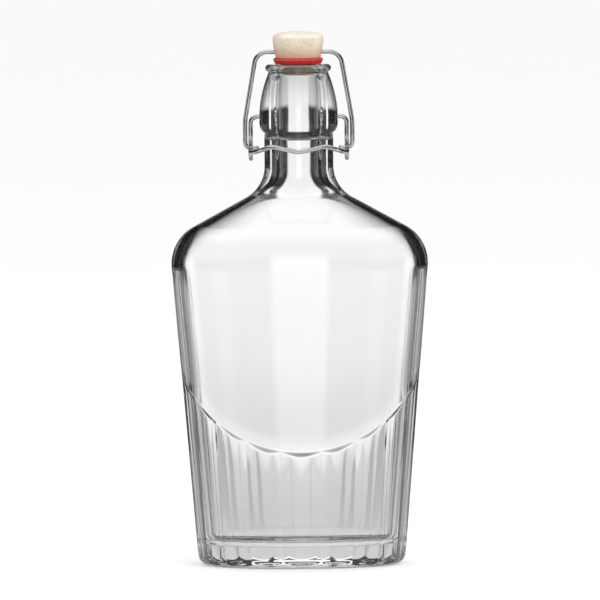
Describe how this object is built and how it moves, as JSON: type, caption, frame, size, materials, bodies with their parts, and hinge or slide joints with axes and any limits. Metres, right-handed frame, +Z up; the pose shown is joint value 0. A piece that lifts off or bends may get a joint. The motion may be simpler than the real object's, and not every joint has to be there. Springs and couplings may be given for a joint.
{
  "type": "swing-top flask bottle",
  "caption": "Flat clear-glass flask with a fluted lower body, a narrow neck and a wire swing-top closure with a gasketed stopper.",
  "frame": {"origin": "centre of the overall bounding box at floor level, which is the centre of the base's bearing ring and lies on the neck's axis", "axes": "+Z up along the neck's axis, +X along the flask's width, -Y towards the side with the thumb bar"},
  "size_m": [0.1026, 0.056, 0.2135],
  "materials": {
    "glass": "clear polished soda-lime glass",
    "steel_wire": "bright plated spring-steel wire",
    "cream_stopper": "cream, satin gloss, finely mottled",
    "red_rubber": "smooth moulded rubber"
  },
  "bodies": {
    "bottle": {"bottle": "glass"},
    "lever": {"lever_wire": "steel_wire"},
    "bail": {"bail_wire": "steel_wire"},
    "stopper": {"stopper_head": "cream_stopper", "gasket": "red_rubber"}
  },
  "joints": [
    {"name": "lever_hinge", "type": "hinge", "parent": "bottle", "child": "lever", "pos_m": [0, 0, 0.1795], "axis": [-1, 0, 0], "range_deg": [0, 150]},
    {"name": "bail_hinge", "type": "hinge", "parent": "lever", "child": "bail", "pos_m": [0, 0.001, 0.1669], "axis": [-1, 0, 0], "range_deg": [-100.5, 0]},
    {"name": "stopper_hinge", "type": "hinge", "parent": "bail", "child": "stopper", "pos_m": [0, 0, 0.2053], "axis": [-1, 0, 0], "range_deg": [-49.5, 0]}
  ],
  "couplings": [
    {"joint": "bail_hinge", "follows": "lever_hinge", "ratio": -0.67},
    {"joint": "stopper_hinge", "follows": "lever_hinge", "ratio": -0.33}
  ]
}
